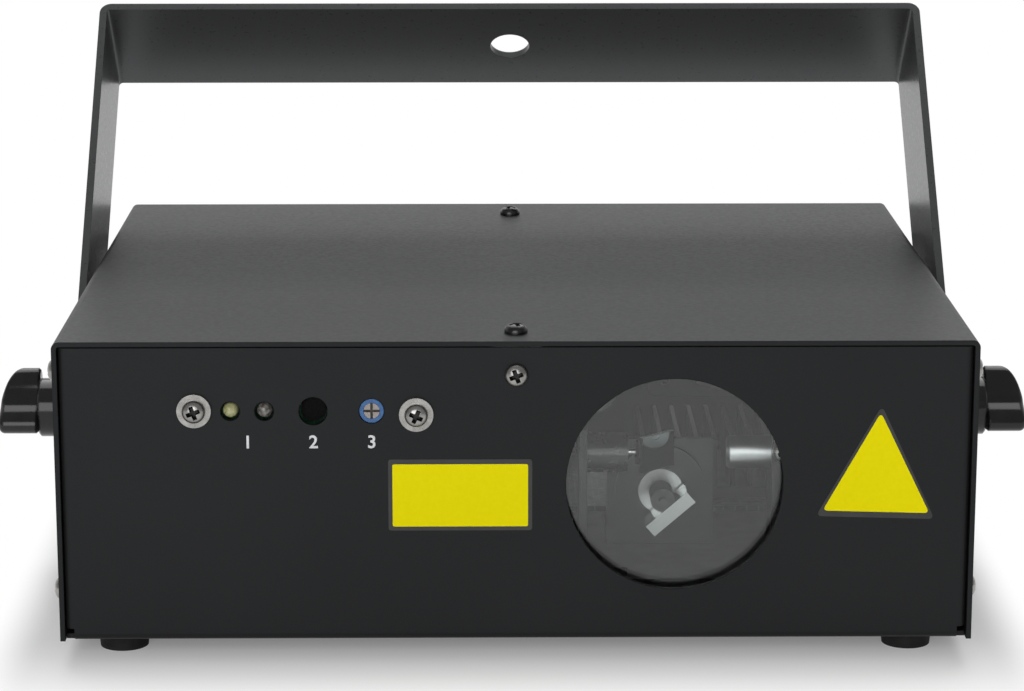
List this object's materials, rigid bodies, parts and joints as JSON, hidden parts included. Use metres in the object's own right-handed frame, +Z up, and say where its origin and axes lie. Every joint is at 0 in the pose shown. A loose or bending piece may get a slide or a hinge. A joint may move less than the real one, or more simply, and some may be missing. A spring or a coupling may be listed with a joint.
{
  "type": "laser show projector",
  "caption": "Box-shaped laser show projector with a round front window, a tilting hanging yoke held by winged knobs, front controls and rear sockets.",
  "frame": {"origin": "on the floor under the middle of the whole object, feet at z = 0", "axes": "+X to the right seen from the front, front window towards -Y, +Z up"},
  "size_m": [0.27, 0.1888, 0.1415],
  "materials": {
    "black_paint": "satin powder coat",
    "black_anodised": "matte black anodised",
    "bare_aluminium": "turned, satin",
    "zinc_steel": "zinc plated",
    "black_steel": "blackened",
    "chrome_steel": "bright plated",
    "knob_plastic": "glossy black",
    "black_plastic": "fine matte",
    "rubber": "matte",
    "window_glass": "clear",
    "mirror_glass": "polished",
    "green_board": "solder mask",
    "blue_plastic": "moulded",
    "cream_plastic": "moulded",
    "yellow_lamp": "tinted clear",
    "clear_lamp": "clear",
    "gold_brass": "plated",
    "display_plastic": "dark red filter",
    "button_plastic": "moulded"
  },
  "bodies": {
    "housing": {"chassis": "black_paint", "hood": "black_paint", "front_angle_bracket": "zinc_steel", "rear_angle_bracket": "zinc_steel", "hood_top_screws": "black_steel", "case_screws": "zinc_steel", "rubber_feet": "rubber", "foot_screws": "zinc_steel", "friction_washers": "rubber", "pivot_nuts": "zinc_steel", "window_gasket": "rubber", "window_pane": "window_glass", "control_board": "green_board", "board_spacers": "bare_aluminium", "board_screws": "zinc_steel", "board_washers": "zinc_steel", "left_led": "yellow_lamp", "right_led": "clear_lamp", "microphone": "black_plastic", "trimmer_body": "blue_plastic", "optical_plate": "black_anodised", "pillars": "black_anodised", "laser_barrel": "bare_aluminium", "laser_clamp": "black_anodised", "laser_clamp_screws": "zinc_steel", "pan_bracket": "black_anodised", "pan_motor": "black_anodised", "tilt_bracket": "black_anodised", "tilt_motor": "black_steel", "main_board": "green_board", "heat_sink": "black_anodised", "power_supply": "zinc_steel", "fan_frame": "black_plastic", "fan_screws": "black_steel", "mains_inlet": "black_plastic", "dmx_input": "zinc_steel", "dmx_output": "zinc_steel", "connector_pins": "gold_brass", "connector_screws": "black_steel", "key_switch": "chrome_steel", "menu_board": "green_board", "menu_display": "display_plastic"},
    "yoke": {"yoke": "black_paint"},
    "left_washer": {"left_knob_washer": "black_plastic"},
    "right_washer": {"right_knob_washer": "black_plastic"},
    "left_knob": {"left_knob": "knob_plastic", "left_knob_stud": "zinc_steel"},
    "right_knob": {"right_knob": "knob_plastic", "right_knob_stud": "zinc_steel"},
    "trimmer": {"trimmer_rotor": "cream_plastic"},
    "fan": {"fan_rotor": "black_plastic"},
    "pan_scanner": {"pan_mirror_shaft": "black_steel", "pan_mirror": "mirror_glass"},
    "tilt_scanner": {"tilt_mirror_shaft": "zinc_steel", "tilt_mirror": "mirror_glass"},
    "key": {"key_plug": "zinc_steel"},
    "button_1": {"menu_button_1": "button_plastic"},
    "button_2": {"menu_button_2": "button_plastic"},
    "button_3": {"menu_button_3": "button_plastic"},
    "button_4": {"menu_button_4": "button_plastic"}
  },
  "joints": [
    {"name": "yoke_tilt", "type": "hinge", "parent": "housing", "child": "yoke", "pos_m": [0, -0.00675, 0.043], "axis": [1, 0, 0], "continuous": true},
    {"name": "left_washer_slide", "type": "slide", "parent": "housing", "child": "left_washer", "axis": [-1, 0, 0], "range_m": [0, 0.002]},
    {"name": "left_knob_turn", "type": "hinge", "parent": "left_washer", "child": "left_knob", "pos_m": [-0.1146, -0.00675, 0.043], "axis": [-1, 0, 0], "range_deg": [0, 720]},
    {"name": "right_washer_slide", "type": "slide", "parent": "housing", "child": "right_washer", "axis": [1, 0, 0], "range_m": [0, 0.002]},
    {"name": "right_knob_turn", "type": "hinge", "parent": "right_washer", "child": "right_knob", "pos_m": [0.1146, -0.00675, 0.043], "axis": [1, 0, 0], "range_deg": [0, 720]},
    {"name": "trimmer_turn", "type": "hinge", "parent": "housing", "child": "trimmer", "pos_m": [-0.0344, -0.09135, 0.063], "axis": [0, -1, 0], "range_deg": [-135, 135]},
    {"name": "fan_spin", "type": "hinge", "parent": "housing", "child": "fan", "pos_m": [0.0649, 0.08665, 0.0505], "axis": [0, 1, 0], "continuous": true},
    {"name": "pan_mirror_turn", "type": "hinge", "parent": "housing", "child": "pan_scanner", "pos_m": [0.03701, -0.04725, 0.0315], "axis": [0, -1, 0], "continuous": true},
    {"name": "tilt_mirror_turn", "type": "hinge", "parent": "housing", "child": "tilt_scanner", "pos_m": [0.03521, -0.06775, 0.0468], "axis": [1, 0, 0], "range_deg": [-20, 20]},
    {"name": "key_turn", "type": "hinge", "parent": "housing", "child": "key", "pos_m": [0.02486, 0.08785, 0.028], "axis": [0, -1, 0], "range_deg": [0, 90]},
    {"name": "button_1_press", "type": "slide", "parent": "housing", "child": "button_1", "axis": [0, -1, 0], "range_m": [0, 0.0008], "stiffness_N_per_m": 1200},
    {"name": "button_2_press", "type": "slide", "parent": "housing", "child": "button_2", "axis": [0, -1, 0], "range_m": [0, 0.0008], "stiffness_N_per_m": 1200},
    {"name": "button_3_press", "type": "slide", "parent": "housing", "child": "button_3", "axis": [0, -1, 0], "range_m": [0, 0.0008], "stiffness_N_per_m": 1200},
    {"name": "button_4_press", "type": "slide", "parent": "housing", "child": "button_4", "axis": [0, -1, 0], "range_m": [0, 0.0008], "stiffness_N_per_m": 1200}
  ],
  "couplings": [
    {"joint": "left_knob_turn", "follows": "left_washer_slide", "rad_per_m": 6283.2},
    {"joint": "right_knob_turn", "follows": "right_washer_slide", "rad_per_m": 6283.2}
  ]
}
